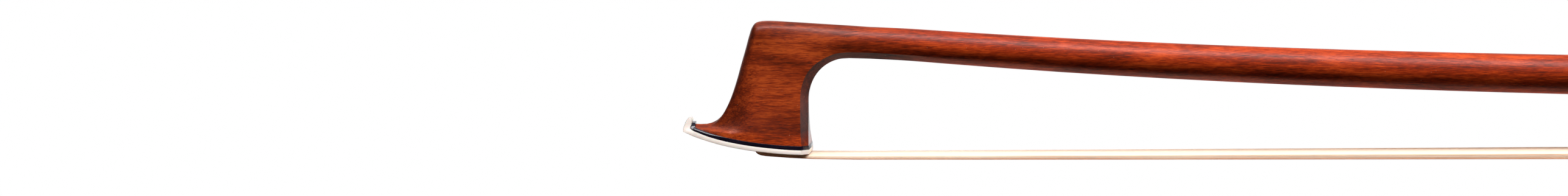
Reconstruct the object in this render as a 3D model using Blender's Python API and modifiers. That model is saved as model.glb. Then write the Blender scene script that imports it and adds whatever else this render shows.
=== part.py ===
"""Violin bow with a silver-mounted frog, head towards -X, screw button towards +X, hair side down."""
from math import atan, cos, exp, hypot, log10, pi, radians, sin

import bmesh
import bpy
from mathutils import Matrix, Vector

# Driving dimensions in millimetres; the model itself is in metres
MM = 0.001
bow_length = 745.0            # beak of the head to the end of the button
half_length = bow_length / 2
stick_end = 360.0             # X of the butt of the stick
handle_start = 255.0          # X where the camber ends and the straight handle begins
handle_width = 8.6            # across the flats of the octagonal handle
octagon_start = 232.0         # X where the round stick begins to turn octagonal
camber_base, camber_slope, camber_rise, camber_reach = 13.108, 0.03, 17.428, 150.0
head_ease, head_ease_end = 0.00205, -331.0   # how the camber flattens towards the head, and from which X
taper_base, taper_rate, taper_offset = -2.46, 3.9, 90.0
sides = 32
glue_gap = 0.08               # between glued laminations
slide_gap = 0.25              # between pieces that slide or turn

plate_thickness = 0.78
liner_thickness = 0.60
heel = 21.9                   # beak to the heel of the head, where the plate ends
neck_half = 2.85              # half the thickness of the head above the flare
ridge_half = 0.2
facet_depth = 2.3             # how far the two front facets reach back from the ridge
throat_chamfer = 1.35
throat_flat = 0.7             # half the width left between the chamfers at the throat
head_mortise_half, head_mortise_top = 2.95, 5.6

frog_front = 300.0            # X of the front edge of the ferrule
frog_depth = 22.3             # axis of the stick down to the sole of the frog
frog_length = 47.0
frog_half = 6.5
cheek_hollow_radius = 14.0
ferrule_length, ferrule_half, ferrule_top = 9.5, 6.8, 8.9
silver_wall = 0.55
lining_wall = 0.35
slide_base, slide_backing_top = 1.85, 1.55
heel_half = 3.9
frog_mortise_half = 3.8
eye_place, eye_height, eye_radius = 25.0, 10.3, 3.1
eyelet_place = 27.0
frog_travel = 4.9             # how far the frog moves towards the head when the hair is slackened
screw_pitch = 0.7
screw_radius = 1.3
button_start, button_end = 60.3, 72.5   # along the handle from the front of the ferrule
button_radius = 4.3


def camber(x):
    """Height of the stick's axis: a rising line and a curve that dies away from the head."""
    if x > handle_start:
        return camber(handle_start) + (x - handle_start) * handle_slope
    eased = head_ease * max(0.0, head_ease_end - x) ** 2
    return camber_base + camber_slope * x + camber_rise * exp(-(x + 345) / camber_reach) - eased


handle_slope = camber_slope - camber_rise / camber_reach * exp(-(handle_start + 345) / camber_reach)
slope_angle = atan(handle_slope)


def stick_radius(x):
    """Radius of the stick, which thickens by a logarithmic law from the head to the handle."""
    return min(handle_width, taper_base + taper_rate * log10(x + 350 + taper_offset)) / 2


# The scene is emptied, and the parts and the cutters get a collection each
for old in list(bpy.data.objects):
    bpy.data.objects.remove(old, do_unlink=True)
bow = bpy.data.collections.new("violin_bow")
tools = bpy.data.collections.new("cutters")
bpy.context.scene.collection.children.link(bow)
bpy.context.scene.collection.children.link(tools)


def finish(name, colour, roughness, metallic=0.0):
    """A Principled material."""
    material = bpy.data.materials.new(name)
    material.use_nodes = True
    shader = material.node_tree.nodes["Principled BSDF"]
    shader.inputs["Base Color"].default_value = (*colour, 1)
    shader.inputs["Roughness"].default_value = roughness
    shader.inputs["Metallic"].default_value = metallic
    material.diffuse_color = (*colour, 1)
    return material


red_wood = finish("varnished_red_wood", (0.26, 0.06, 0.02), 0.28)
ebony = finish("ebony", (0.015, 0.014, 0.016), 0.3)
bone = finish("bone", (0.86, 0.80, 0.70), 0.32)
silver = finish("silver", (0.80, 0.79, 0.77), 0.22, 1.0)
brass = finish("brass", (0.75, 0.55, 0.25), 0.35, 1.0)
steel = finish("steel", (0.55, 0.55, 0.56), 0.35, 1.0)
pearl = finish("mother_of_pearl", (0.78, 0.80, 0.80), 0.2)
horsehair = finish("horsehair", (0.88, 0.78, 0.58), 0.5)
thread = finish("thread", (0.80, 0.76, 0.66), 0.8)
maple = finish("maple", (0.62, 0.45, 0.26), 0.6)
leather = finish("leather", (0.05, 0.03, 0.025), 0.6)
silver_thread = finish("silver_thread", (0.70, 0.69, 0.67), 0.3, 1.0)

# The handle's own frame: its origin is on the stick's axis above the front of the ferrule
handle = bpy.data.objects.new("handle_axis", None)
handle.location = Vector((frog_front, 0, camber(frog_front))) * MM
handle.rotation_euler = (0, -slope_angle, 0)
bow.objects.link(handle)


def new_object(name, mesh, material=None, parent=None, smooth_below=35):
    """A piece with its material, smooth on its round faces, or a hidden cutter if it has no material."""
    piece = bpy.data.objects.new(name, mesh)
    piece.parent = parent
    if material:
        bow.objects.link(piece)
        mesh.materials.clear()
        mesh.materials.append(material)
        mesh.shade_smooth()
        mesh.set_sharp_from_angle(angle=radians(smooth_below))
    else:
        tools.objects.link(piece)
        piece.hide_render = True
        piece.display_type = "WIRE"
    return piece


def cut(piece, name, mesh, parent=None, operation="DIFFERENCE"):
    """Takes a hidden solid away from a piece, adds it, or keeps what they share."""
    cutter = bpy.data.objects.get(name) or new_object(name, mesh, None, parent)
    modifier = piece.modifiers.new(name, "BOOLEAN")
    modifier.operation = operation
    modifier.object = cutter
    modifier.solver = "EXACT"


def to_mesh(bm):
    mesh = bpy.data.meshes.new("shape")
    bm.to_mesh(mesh)
    bm.free()
    return mesh


def block(low, high):
    """A box between two corners."""
    size = [(b - a) * MM for a, b in zip(low, high)]
    middle = [(a + b) / 2 * MM for a, b in zip(low, high)]
    bm = bmesh.new()
    bmesh.ops.create_cube(bm, size=1, matrix=Matrix.Translation(middle) @ Matrix.Diagonal((*size, 1)))
    return to_mesh(bm)


def rod(radius, start, end, end_radius=None, count=32):
    """A round bar or cone from start to end."""
    a, b = Vector(start) * MM, Vector(end) * MM
    turn = (b - a).to_track_quat("Z", "Y").to_matrix().to_4x4()
    bm = bmesh.new()
    bmesh.ops.create_cone(
        bm, cap_ends=True, segments=count, radius1=radius * MM,
        radius2=(radius if end_radius is None else end_radius) * MM, depth=(b - a).length,
        matrix=Matrix.Translation((a + b) / 2) @ turn,
    )
    return to_mesh(bm)


def flat(points, low, high, upright=True, lift=0.0):
    """An outline with a thickness: in the XZ plane if upright, otherwise in the XY plane."""
    curve = bpy.data.curves.new("outline", "CURVE")
    curve.dimensions = "2D"
    curve.fill_mode = "BOTH"
    curve.extrude = (high - low) / 2 * MM
    spline = curve.splines.new("POLY")
    spline.points.add(len(points) - 1)
    for target, (x, y) in zip(spline.points, points):
        target.co = (x * MM, y * MM, 0, 1)
    spline.use_cyclic_u = True
    outline = bpy.data.objects.new("outline", curve)
    bpy.context.scene.collection.objects.link(outline)
    middle = (low + high) / 2 * MM
    if upright:
        outline.matrix_world = Matrix.Translation((0, middle, 0)) @ Matrix.Rotation(pi / 2, 4, "X")
    else:
        outline.matrix_world = Matrix.Translation((0, 0, middle + lift * MM))
    bpy.context.view_layer.update()
    mesh = bpy.data.meshes.new_from_object(outline.evaluated_get(bpy.context.evaluated_depsgraph_get()))
    mesh.transform(outline.matrix_world)
    bm = bmesh.new()
    bm.from_mesh(mesh)
    bmesh.ops.remove_doubles(bm, verts=bm.verts, dist=1e-7)
    bmesh.ops.recalc_face_normals(bm, faces=bm.faces)
    bm.to_mesh(mesh)
    bm.free()
    bpy.data.objects.remove(outline)
    return mesh


def loft(sections):
    """A skin over rings of equally many points, its first end closed by strips and its last by one face."""
    bm = bmesh.new()
    rings = [[bm.verts.new(Vector(point) * MM) for point in ring] for ring in sections]
    count = len(rings[0])
    for first, second in zip(rings, rings[1:]):
        for i in range(count):
            j = (i + 1) % count
            bm.faces.new((first[i], first[j], second[j], second[i]))
    ring = rings[0]
    for i in range(count // 2):
        corners = [ring[i], ring[i + 1], ring[(count - i - 1) % count], ring[(count - i) % count]]
        bm.faces.new(list(dict.fromkeys(corners)))
    bm.faces.new(rings[-1])
    bmesh.ops.recalc_face_normals(bm, faces=bm.faces)
    return to_mesh(bm)


def prism(points, start, end):
    """A prism along the handle with a section given as (across, height over the sole)."""
    bm = bmesh.new()
    face = bm.faces.new([bm.verts.new(Vector((start, y, h - frog_depth)) * MM) for y, h in points])
    moved = bmesh.ops.extrude_face_region(bm, geom=[face])
    verts = [v for v in moved["geom"] if isinstance(v, bmesh.types.BMVert)]
    bmesh.ops.translate(bm, verts=verts, vec=((end - start) * MM, 0, 0))
    bmesh.ops.recalc_face_normals(bm, faces=bm.faces)
    return to_mesh(bm)


def turned(name, profile, material, start):
    """A closed profile of (radius, distance along the handle) turned round the stick's axis."""
    bm = bmesh.new()
    ring = [bm.verts.new((radius * MM, 0, along * MM)) for radius, along in profile]
    for first, second in zip(ring, ring[1:] + ring[:1]):
        bm.edges.new((first, second))
    piece = new_object(name, to_mesh(bm), material, handle)
    piece.location = (start * MM, 0, 0)
    piece.rotation_euler = (0, pi / 2, 0)
    screw = piece.modifiers.new("turn", "SCREW")
    screw.steps = screw.render_steps = sides
    screw.use_merge_vertices = True
    screw.merge_threshold = 0.000005
    return piece


def through(points, x):
    """Height at x of a smooth curve through a few points."""
    k = next((i for i in range(len(points) - 2) if x <= points[i + 1][0]), len(points) - 2)
    (x1, y1), (x2, y2) = points[k], points[k + 1]

    def slope(i):
        a, b = points[max(i - 1, 0)], points[min(i + 1, len(points) - 1)]
        return (b[1] - a[1]) / (b[0] - a[0])

    t, span = (x - x1) / (x2 - x1), x2 - x1
    t2, t3 = t * t, t * t * t
    return ((2 * t3 - 3 * t2 + 1) * y1 + (t3 - 2 * t2 + t) * span * slope(k)
            + (3 * t2 - 2 * t3) * y2 + (t3 - t2) * span * slope(k + 1))


# The head: distances are from the beak, heights above the hair's lower side
plate_line = [(0.0, 4.50), (2.5, 3.57), (6.6, 2.52), (11.1, 1.78), (15.5, 1.24), (18.5, 0.95), (heel, 0.77)]
plan_line = [(0.0, 1.3), (2.0, 1.9), (5.0, 3.0), (8.0, 4.0), (12.0, 4.85), (15.0, 5.0), (18.5, 4.9),
             (22.0, 4.5)]
head_levels = [
    # place along the head, front or top point, throat or lower point, share of the flare towards the plate
    (0.0, (1.0, 3.2), (21.95, 0.4), 1.0),
    (0.6, (2.3, 5.60), (21.9, 2.4), 0.95),
    (1.0, (4.8, 5.90), (21.75, 3.2), 0.72),
    (2.0, (6.23, 6.74), (21.6, 4.5), 0.45),
    (3.0, (7.24, 8.08), (21.5, 6.2), 0.24),
    (4.0, (8.30, 10.30), (21.45, 8.4), 0.10),
    (5.0, (9.30, 13.20), (21.6, 10.4), 0.03),
    (6.0, (10.10, 16.00), (21.85, 12.0), 0.0),
    (7.0, (10.90, 18.70), (22.4, 13.4), 0.0),
    (8.0, (11.52, 20.91), (22.96, 14.28), 0.0),
    (9.0, (12.10, 22.45), (23.4, 14.90), 0.0),
    (10.0, (12.97, 23.15), (23.9, 15.40), 0.0),
    (11.0, (15.00, 23.33), (24.65, 16.04), 0.0),
    (12.0, (19.00, 23.13), (25.63, 16.52), 0.0),
    (13.0, (24.00, 22.82), (26.99, 16.88), 0.0),
    (14.0, (28.20, 22.56), (28.6, 17.00), 0.0),
]
facet_points, chamfer_point = 4, 14   # which of a ring's points end the facet and lie in the chamfer
round_from, round_to = 8.5, 14.0      # places between which the head turns into the round stick


def head_ring(place):
    """One section of the head, from its front or top point to its throat or lower point."""
    def level(pick):
        return through([(row[0], pick(row)) for row in head_levels], place)

    front = (level(lambda row: row[1][0]), level(lambda row: row[1][1]))
    back = (level(lambda row: row[2][0]), level(lambda row: row[2][1]))
    flare = min(1.0, max(0.0, level(lambda row: row[3])))
    length = hypot(back[0] - front[0], back[1] - front[1])
    roundness = min(1.0, max(0.0, (place - round_from) / (round_to - round_from)))
    roundness = roundness * roundness * (3 - 2 * roundness)
    radius = stick_radius((front[0] + back[0]) / 2 - half_length)
    half = []
    for i in range(sides // 2 + 1):
        if i <= facet_points:
            reach = facet_depth * i / facet_points
        elif i < chamfer_point:
            share = (i - facet_points) / (chamfer_point - 1 - facet_points)
            reach = facet_depth + (length - throat_chamfer - facet_depth) * share
        else:
            reach = length - throat_chamfer * max(0, chamfer_point + 1 - i) / 2
        neck = ridge_half + (neck_half - ridge_half) * sin(min(1.0, reach / facet_depth) * pi / 2) ** 0.8
        wide = through(plan_line, min(1.0, reach / length) * plan_line[-1][0])
        if i >= chamfer_point:
            neck = throat_flat if i > chamfer_point else (neck_half + throat_flat) / 2
            wide -= throat_chamfer * (i - chamfer_point + 1) / 2
        across = 0.0 if i in (0, sides // 2) else neck + (wide - neck) * flare
        angle = 2 * pi * i / sides
        along = reach / length
        along += ((1 - cos(angle)) / 2 - along) * roundness
        across += (radius * sin(angle) - across) * roundness
        x, z = (a + (b - a) * along for a, b in zip(front, back))
        half.append((x, across, z))
    near = [(x - half_length, -y, z) for x, y, z in half]
    far = [(x - half_length, y, z) for x, y, z in half[-2:0:-1]]
    return near + far


def stick_ring(x):
    """A section of the stick: round, and octagonal along the handle."""
    radius, centre = stick_radius(x), camber(x)
    tilt = atan(camber(x + 0.5) - camber(x - 0.5))
    octagon = min(1.0, max(0.0, (x - octagon_start) / (handle_start - 1 - octagon_start)))
    ring = []
    for i in range(sides):
        angle = 2 * pi * i / sides
        corner = ((angle + pi / 8) % (pi / 4)) - pi / 8
        reach = radius * (1 - octagon) + octagon * handle_width / 2 / cos(corner)
        up, aside = reach * cos(angle), -reach * sin(angle)
        ring.append((x - up * sin(tilt), aside, centre + up * cos(tilt)))
    return ring


head_places = [0.0, 0.6, 1.0, 1.5, 2.0, 2.5, 3.0, 4.0, 5.0, 6.0, 7.0, 7.5, 8.0, 8.4, 8.8, 9.2, 9.6, 10.0,
               10.5, 11.0, 11.5, 12.0, 12.5, 13.0, 13.5, 14.0]
shaft_start, shaft_step = 32.0 - half_length, 22.0
shaft_places = [shaft_start + shaft_step * i for i in range(26)] + [236, 245, handle_start, 300, stick_end]
rings = [head_ring(place) for place in head_places] + [stick_ring(x) for x in shaft_places]
stick = new_object("stick", loft(rings), red_wood, smooth_below=28)


def layer(lift):
    """Points of the plate's underside raised by the thickness of what lies below."""
    places = [heel * i / 16 for i in range(17)]
    return [(x - half_length, through(plate_line, x) + lift) for x in places]


def from_beak(points):
    return [(x - half_length, z) for x, z in points]


# The wood under the head follows the plate, and the plate and its liner are cut to one outline
liner_lift = plate_thickness + glue_gap
wood_lift = liner_lift + liner_thickness + glue_gap
reach = 9.0                   # cutters run this far to each side of the bow's middle plane
ahead, behind, below = -half_length - 2, 25 - half_length, -3.0
wood_line = layer(wood_lift)
front_end = [(ahead, below), (ahead, wood_line[0][1])]
back_end = [(behind, wood_line[-1][1]), (behind, below)]
cut(stick, "under_head", flat(front_end + wood_line + back_end, -reach, reach))
beak_notch = [(-2, 7.9), (1.6, 7.9), (2.2, 6.6), (2.32, 5.95), (2.6, 4.9), (1.0, 4.2), (-2, 4.2)]
cut(stick, "beak_notch", flat(from_beak(beak_notch), -reach, reach))

plan = [(float(x), through(plan_line, x)) for x in range(23)]
plan_outline = [(x - half_length, -y) for x, y in plan] + [(x - half_length, y) for x, y in reversed(plan)]
plan_prism = flat(plan_outline, -2, 10, upright=False)

beak_front = [(1.22, 5.05), (1.72, 6.30), (1.63, 6.70), (1.33, 7.02), (1.05, 6.93), (0.66, 6.46),
              (0.32, 5.75), (0.02, 4.85)]
plate_side = layer(0.0) + list(reversed(layer(plate_thickness)[2:])) + from_beak(beak_front)
head_plate = new_object("head_plate", flat(plate_side, -reach, reach), bone)
cut(head_plate, "plate_plan", plan_prism, operation="INTERSECT")

liner_nose = [(2.12, 5.55), (2.05, 5.95), (1.86, 6.3), (1.80, 6.0), (1.36, 5.08)]
liner_top = layer(liner_lift + liner_thickness)[2:]
liner_side = layer(liner_lift)[2:] + list(reversed(liner_top)) + from_beak(liner_nose)
head_liner = new_object("head_liner", flat(liner_side, -reach, reach), ebony)
cut(head_liner, "plate_plan", plan_prism, operation="INTERSECT")

# The mortise in the head runs through the plate and the liner into the wood
mortise_front, mortise_back = 12.3 - half_length, 18.6 - half_length
mortise_low, mortise_high = (mortise_front, -head_mortise_half), (mortise_back, head_mortise_half)
mortise_box = block((*mortise_low, -1), (*mortise_high, head_mortise_top))
for piece in (stick, head_plate, head_liner):
    cut(piece, "head_mortise", mortise_box)

knot_radius, knot_x, knot_z, knot_half = 1.1, mortise_front + 1.4, 4.3, 2.6
knot = rod(knot_radius, (knot_x, -knot_half, knot_z), (knot_x, knot_half, knot_z), count=16)
new_object("head_hair_knot", knot, thread)
plug_side = [(mortise_front + 1.35, 1.5), (mortise_back - 0.15, 1.1), (mortise_back - 0.3, 5.35),
             (mortise_front + 3.0, 5.35), (mortise_front + 2.75, 3.2)]
plug_half = head_mortise_half - 0.12
new_object("head_plug", flat(plug_side, -plug_half, plug_half), maple)


def along_handle(u, height):
    """A place in the handle's frame, u along it and height over the sole, as world X and Z in millimetres."""
    w = height - frog_depth
    return (frog_front + u * cos(slope_angle) - w * sin(slope_angle),
            camber(frog_front) + u * sin(slope_angle) + w * cos(slope_angle))


# The hair: a ribbon from the head's mortise to the frog's, ribbed along like its hairs
hair_ribs, rib_depth = 20, 0.07
hair_stations = [
    # X, underside, half width, thickness, turn in degrees
    (mortise_front + 0.12, 2.9, 2.75, 0.45, 90),
    (mortise_front + 0.35, 1.55, 2.8, 0.5, 84),
    (mortise_front + 1.0, 0.62, 2.85, 0.52, 54),
    (15.4 - half_length, 0.43, 3.1, 0.55, 6),
    (18.5 - half_length, 0.24, 3.35, 0.55, 0),
    (22.4 - half_length, 0.08, 3.5, 0.58, 0),
    (30.0 - half_length, 0.0, 3.6, 0.62, 0),
    (-225.0, 0.15, 4.3, 1.0, 0),
    (0.0, 0.43, 4.9, 1.0, 0),
    (290.0, along_handle(-0.3, silver_wall + 0.18)[1] - 0.1, 5.3, 0.75, 0),
    (*along_handle(-0.3, silver_wall + 0.18), 5.3, 0.7, 0),
    (*along_handle(9.4, 1.75), 5.3, 0.7, 0),
    (*along_handle(13.2, 1.95), 4.2, 0.6, 0),
]


def hair_ring(x, under, half, thick, turn):
    """A section of the ribbon, turned up where it enters the head's mortise."""
    lean, under_side, upper_side = radians(turn), [], []
    for i in range(2 * hair_ribs + 1):
        across = half * (i / hair_ribs - 1)
        groove = 0.0 if i % 2 else rib_depth
        for side, height in ((under_side, groove), (upper_side, thick - groove)):
            side.append((x + height * sin(lean), across, under + height * cos(lean)))
    return under_side + list(reversed(upper_side))


def ribbon(stations):
    """The ribbon's skin, both ends closed by strips between its lower and upper sides."""
    bm = bmesh.new()
    loops = [[bm.verts.new(Vector(point) * MM) for point in hair_ring(*station)] for station in stations]
    count = len(loops[0])
    for first, second in zip(loops, loops[1:]):
        for i in range(count):
            j = (i + 1) % count
            bm.faces.new((first[i], first[j], second[j], second[i]))
    for loop in (loops[0], loops[-1]):
        for i in range(count // 2 - 1):
            bm.faces.new((loop[i], loop[i + 1], loop[count - 2 - i], loop[count - 1 - i]))
    bmesh.ops.recalc_face_normals(bm, faces=bm.faces)
    return to_mesh(bm)


new_object("hair_ribbon", ribbon(hair_stations), horsehair, smooth_below=60)


# The frog, in the handle's frame: u along the handle, heights above the sole
def at(u, height):
    return (u, height - frog_depth)


def arc(centre, radius, start, end, count):
    """Points on a circle, by angle in degrees from +u."""
    return [(centre[0] + radius * cos(radians(start + (end - start) * i / count)),
             centre[1] + radius * sin(radians(start + (end - start) * i / count))) for i in range(count + 1)]


def d_shape(half, low, high, count):
    """The D-shaped section of the ferrule: flat below, round above, as (across, height)."""
    shoulder = 3.8
    rim = [pi * i / count for i in range(count + 1)]
    return [(-half, low), (half, low)] + [
        (half * cos(angle), shoulder + (high - shoulder) * sin(angle)) for angle in rim]


def octagon(flat_half):
    """The handle's section, as (across, height)."""
    corner = flat_half / cos(pi / 8)
    turns = [pi / 8 + i * pi / 4 for i in range(8)]
    return [(corner * sin(turn), corner * cos(turn) + frog_depth) for turn in turns]


sole = -frog_depth
back_face = frog_length - 0.75        # the block's back, with the heel plate's thickness left free
throat_centre, throat_radius = at(8.1, 13.75), 4.75
frog_side = [at(9.8, slide_base), at(36.2, slide_base), at(36.2, 0.75), at(back_face, 0.75),
             at(back_face, 5.0), at(frog_length - 1.0, 11.0), at(frog_length - 0.6, 17.0),
             at(frog_length, 20.9), at(8.6, 20.9), at(7.4, 20.2), at(7.0, 19.2), at(7.5, 18.55)]
frog_side += arc(throat_centre, throat_radius, 80, -72, 10) + [at(9.8, 8.9)]
frog_block = new_object("frog_block", flat(frog_side, -frog_half, frog_half), ebony, handle)

fit = silver_wall + 0.15              # wall of the ferrule and the play of the tongue in it
tongue = d_shape(ferrule_half - fit, 2.95, ferrule_top - fit, 14)
cut(frog_block, "frog_tongue", prism(tongue, 0.9, 10.5), handle, "UNION")
for side, word in ((-1, "left"), (1, "right")):
    cut(frog_block, f"cheek_taper_{word}", block((-30, 0, -30), (80, 20, 30)), handle)
    taper = bpy.data.objects[f"cheek_taper_{word}"]
    taper.location = Vector((10.0, side * 6.4, 0)) * MM
    taper.rotation_euler = (0, 0, (0 if side > 0 else pi) - side * radians(3.0))
    axis = cheek_hollow_radius + 4.4
    hollow_front, hollow_back = (10.2, side * axis, sole + 10.5), (60, side * (axis - 0.4), sole + 10.5)
    hollow = rod(cheek_hollow_radius, hollow_front, hollow_back, count=64)
    cut(frog_block, f"cheek_hollow_{word}", hollow, handle)
    flange = sorted((side * 4.95, side * 12))
    trim = block((-5, flange[0], sole + 15.2), (60, flange[1], sole + 25))
    cut(frog_block, f"flange_trim_{word}", trim, handle)

channel_half = handle_width / 2 + slide_gap
cut(frog_block, "stick_channel", prism(octagon(channel_half + lining_wall + glue_gap), -3, 60), handle)
frog_mortise = block((13.0, -frog_mortise_half, sole - 1), (22.5, frog_mortise_half, sole + 8.5))
cut(frog_block, "frog_mortise", frog_mortise, handle)
cut(frog_block, "hair_channel", block((8.0, -5.5, sole - 1), (14.0, 5.5, sole + 2.95)), handle)

# Silver lining of the channel: three facets that slide on the handle
underslide = new_object("underslide", prism(octagon(channel_half + lining_wall), 8.9, 46.6), silver, handle)
cut(underslide, "lining_inside", prism(octagon(channel_half), -3, 60), handle)
cut(underslide, "lining_trim", block((-5, -reach, -2.0), (60, reach, reach)), handle)
cut(underslide, "lining_hole", rod(1.9, (eyelet_place, 0, -reach), (eyelet_place, 0, 0), count=24), handle)

ferrule_section = d_shape(ferrule_half, 0, ferrule_top, 24)
ferrule = new_object("ferrule", prism(ferrule_section, 0, ferrule_length), silver, handle)
bore =d_shape(ferrule_half - silver_wall, silver_wall, ferrule_top - silver_wall, 24)
cut(ferrule, "ferrule_bore", prism(bore, -1, 12), handle)
new_object("spread_wedge", block((0.5, -5.5, sole + 2.05), (4.6, 5.5, sole + 2.85)), maple, handle)


def slide_layer(low, high, inset):
    """A layer of the slide, tapering towards the heel."""
    corners = [(9.85, -4.7), (35.9, -3.6), (35.9, 3.6), (9.85, 4.7)]
    outline = [(u, v - inset if v > 0 else v + inset) for u, v in corners]
    return flat(outline, low, high, upright=False, lift=sole)


new_object("slide_backing", slide_layer(0.80, slide_backing_top, 0.0), ebony, handle)
new_object("pearl_slide", slide_layer(0.05, 0.72, 0.35), pearl, handle)
plate_back = frog_length - 0.05
sole_plate = block((36.3, -heel_half, sole + 0.02), (frog_length - 0.62, heel_half, sole + 0.6))
new_object("heel_plate_sole", sole_plate, silver, handle)
back_plate = block((frog_length - 0.6, -heel_half, sole + 0.02), (plate_back, heel_half, sole + 10.6))
new_object("heel_plate_back", back_plate, silver, handle)


def eye_rod(radius, side, start, end):
    """A round bar across the frog's cheek, between two distances from its middle plane."""
    inner_end, outer_end = ((eye_place, side * reach_out, sole + eye_height) for reach_out in (start, end))
    return rod(radius, inner_end, outer_end)


for side, word in ((-1, "left"), (1, "right")):
    cut(frog_block, f"eye_socket_{word}", eye_rod(eye_radius + 0.15, side, 3.0, 9), handle)
    ring = new_object(f"eye_ring_{word}", eye_rod(eye_radius, side, 3.1, 4.55), silver, handle)
    cut(ring, f"eye_bore_{word}", eye_rod(eye_radius - 0.75, side, 2.5, 6), handle)
    new_object(f"eye_pearl_{word}", eye_rod(eye_radius - 0.9, side, 3.1, 4.5), pearl, handle)

frog_knot = rod(1.5, (15.0, -3.4, sole + 5.6), (15.0, 3.4, sole + 5.6), count=16)
new_object("frog_hair_knot", frog_knot, thread, handle)
plug_side = [at(14.4, 1.85), at(22.3, 1.85), at(22.2, 8.1), at(17.2, 8.1), at(16.8, 3.8)]
new_object("frog_plug", flat(plug_side, 0.2 - frog_mortise_half, frog_mortise_half - 0.2), maple, handle)

# The eyelet hangs on the screw inside the handle and is threaded into the frog
eyelet_radius, shank_radius = 2.2, 1.4
boss = rod(eyelet_radius, (eyelet_place, 0, -3.6), (eyelet_place, 0, 2.0), count=24)
eyelet = new_object("eyelet", boss, brass, handle)
shank = rod(shank_radius, (eyelet_place, 0, sole + 11.5), (eyelet_place, 0, -3.0), count=24)
cut(eyelet, "eyelet_shank", shank, handle, "UNION")
eyelet_bore = rod(screw_radius + 0.15, (eyelet_place - 5, 0, 0), (eyelet_place + 5, 0, 0), count=24)
cut(eyelet, "eyelet_bore", eyelet_bore, handle)
shank_hole = rod(shank_radius + 0.15, (eyelet_place, 0, sole + 11.2), (eyelet_place, 0, -2), count=24)
cut(frog_block, "shank_hole", shank_hole, handle)
slot_start = eyelet_place - frog_travel - eyelet_radius - 0.6
slot_end = eyelet_place + 1.4 + eyelet_radius + 0.6
slot_half = eyelet_radius + slide_gap
cut(stick, "handle_slot", block((slot_start, -slot_half, -6), (slot_end, slot_half, 2.3)), handle)
cut(stick, "screw_bore", rod(screw_radius + slide_gap, (12.0, 0, 0), (70.0, 0, 0), count=24), handle)

# The button and the screw that it turns
new_object("adjusting_screw", rod(screw_radius, (13.4, 0, 0), (70.9, 0, 0), count=24), steel, handle)
inner, core_start, rear_start = screw_radius + 0.1, button_start + 2.6, button_start + 8.7
front_profile = [(inner, 0), (inner, 2.5), (button_radius, 2.5), (button_radius, 0.3),
                 (button_radius - 0.3, 0)]
core_profile = [(inner, 0), (inner, 6.0), (button_radius - 0.2, 6.0), (button_radius - 0.35, 3.0),
                (button_radius - 0.2, 0)]
rear_profile = [(inner, 0), (inner, 2.1), (3.0, 2.1), (3.0, 3.4), (3.6, 3.4), (button_radius, 2.9),
                (button_radius, 0)]
turned("button_collar_front", front_profile, silver, button_start)
turned("button_core", core_profile, ebony, core_start)
turned("button_collar_rear", rear_profile, silver, rear_start)
button_disc = rod(2.9, (rear_start + 2.2, 0, 0), (button_end, 0, 0), end_radius=2.6)
new_object("button_pearl", button_disc, pearl, handle)

# Grip leather and silver lapping round the stick ahead of the frog
leather_profile = [(4.85, 0), (4.85, 33.0), (5.5, 33.0), (5.75, 32.0), (5.75, 1.0), (5.3, 0)]
turned("thumb_leather", leather_profile, leather, -32.0)
turned("lapping", [(4.72, 0), (4.72, 58.0), (4.98, 58.0), (4.98, 0)], silver_thread, -90.2)

bpy.context.view_layer.update()
for label, place in (("handle origin", (0, 0, 0)), ("button start", (button_start, 0, 0)),
                     ("button end", (button_end, 0, 0)), ("ferrule underside", (5, 0, sole)),
                     ("slide middle", (22, 0, sole + 0.05))):
    print(label, [round(v, 6) for v in handle.matrix_world @ (Vector(place) * MM)])
print("handle axis", [round(v, 6) for v in handle.matrix_world.to_3x3() @ Vector((1, 0, 0))])
print("screw travel per radian", round(screw_pitch / (2 * pi) * MM, 9))
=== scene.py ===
import math
import random

import bmesh
import bpy
from mathutils import Matrix, Vector


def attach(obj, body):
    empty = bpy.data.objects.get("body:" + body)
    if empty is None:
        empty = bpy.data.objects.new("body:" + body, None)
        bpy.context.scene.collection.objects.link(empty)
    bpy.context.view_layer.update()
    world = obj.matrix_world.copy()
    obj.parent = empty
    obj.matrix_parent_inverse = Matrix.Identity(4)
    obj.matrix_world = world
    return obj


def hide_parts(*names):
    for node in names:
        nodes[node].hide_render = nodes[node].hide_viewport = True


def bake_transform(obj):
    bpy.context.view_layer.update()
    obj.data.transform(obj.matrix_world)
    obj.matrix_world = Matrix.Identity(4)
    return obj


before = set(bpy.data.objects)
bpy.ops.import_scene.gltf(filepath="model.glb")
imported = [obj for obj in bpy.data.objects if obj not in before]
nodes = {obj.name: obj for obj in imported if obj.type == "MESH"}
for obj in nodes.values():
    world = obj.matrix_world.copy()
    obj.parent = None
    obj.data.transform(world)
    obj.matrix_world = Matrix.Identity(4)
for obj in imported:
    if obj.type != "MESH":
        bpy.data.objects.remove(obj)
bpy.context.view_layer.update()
bpy.ops.object.select_all(action="DESELECT")
print("frame loaded")

mm = 0.001
bow = {"halfLength": 372.5, "stickEnd": 360.0, "handleStart": 255.0, "handleWidth": 8.6, "octagonStart": 232.0,
       "camberBase": 13.108, "camberSlope": 0.03, "camberRise": 17.428, "camberReach": 150.0,
       "headEase": 0.00205, "headEaseEnd": -331.0,
       "taperBase": -2.46, "taperRate": 3.9, "taperOffset": 90.0,
       "frogFront": 300.0, "frogDepth": 22.3}


def camberCurve(x):  # height of the stick's axis, in mm
    eased = bow["headEase"] * max(0.0, bow["headEaseEnd"] - x) ** 2
    return bow["camberBase"] + bow["camberSlope"] * x + bow["camberRise"] * math.exp(-(x + 345) / bow["camberReach"]) - eased


handleSlope = bow["camberSlope"] - (camberCurve(bow["handleStart"]) - bow["camberBase"]
                                    - bow["camberSlope"] * bow["handleStart"]) / bow["camberReach"]
handleAngle = math.atan(handleSlope)


def axisHeight(x):
    straight = x - bow["handleStart"]
    return camberCurve(x) if straight < 0 else camberCurve(bow["handleStart"]) + straight * handleSlope


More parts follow.
